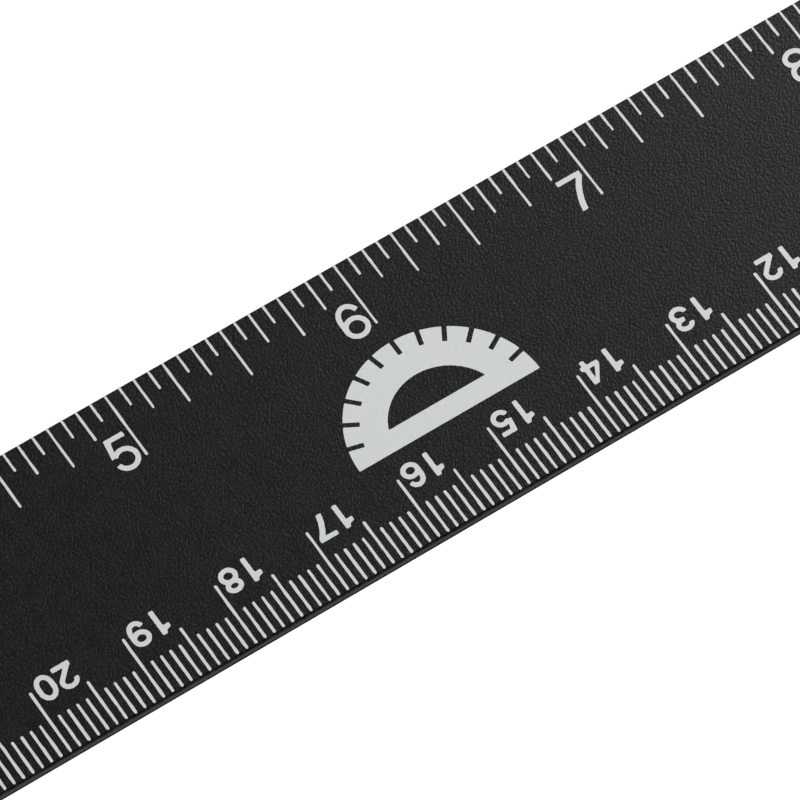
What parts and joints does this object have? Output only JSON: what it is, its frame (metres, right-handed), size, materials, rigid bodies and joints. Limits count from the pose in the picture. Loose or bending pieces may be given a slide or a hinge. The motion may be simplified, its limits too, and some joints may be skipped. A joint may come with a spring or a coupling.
{
  "type": "steel ruler",
  "caption": "Flat cork-backed steel ruler with inch and centimetre scales on opposite edges and a hanging hole.",
  "frame": {"origin": "middle of the underside of the cork backing, where the ruler rests", "axes": "+X along the blade, from the inch scale's zero end to the centimetre scale's zero end; +Y across it, towards the inch edge; +Z out of the printed face"},
  "size_m": [0.3048, 0.03, 0.002],
  "materials": {
    "blade_coat": "matt black powder coat on steel, fine grain",
    "ink": "opaque off-white printing ink, matt",
    "film": "thin double-sided adhesive film, translucent amber seen at its edge",
    "cork": "fine-grained composition cork, dry and matt"
  },
  "bodies": {
    "root": {"steel_blade": "blade_coat", "adhesive_film": "film", "cork_backing": "cork", "inch_graduations": "ink", "inch_numerals": "ink", "centimetre_graduations": "ink", "centimetre_numerals": "ink", "centre_emblem": "ink"}
  },
  "joints": []
}
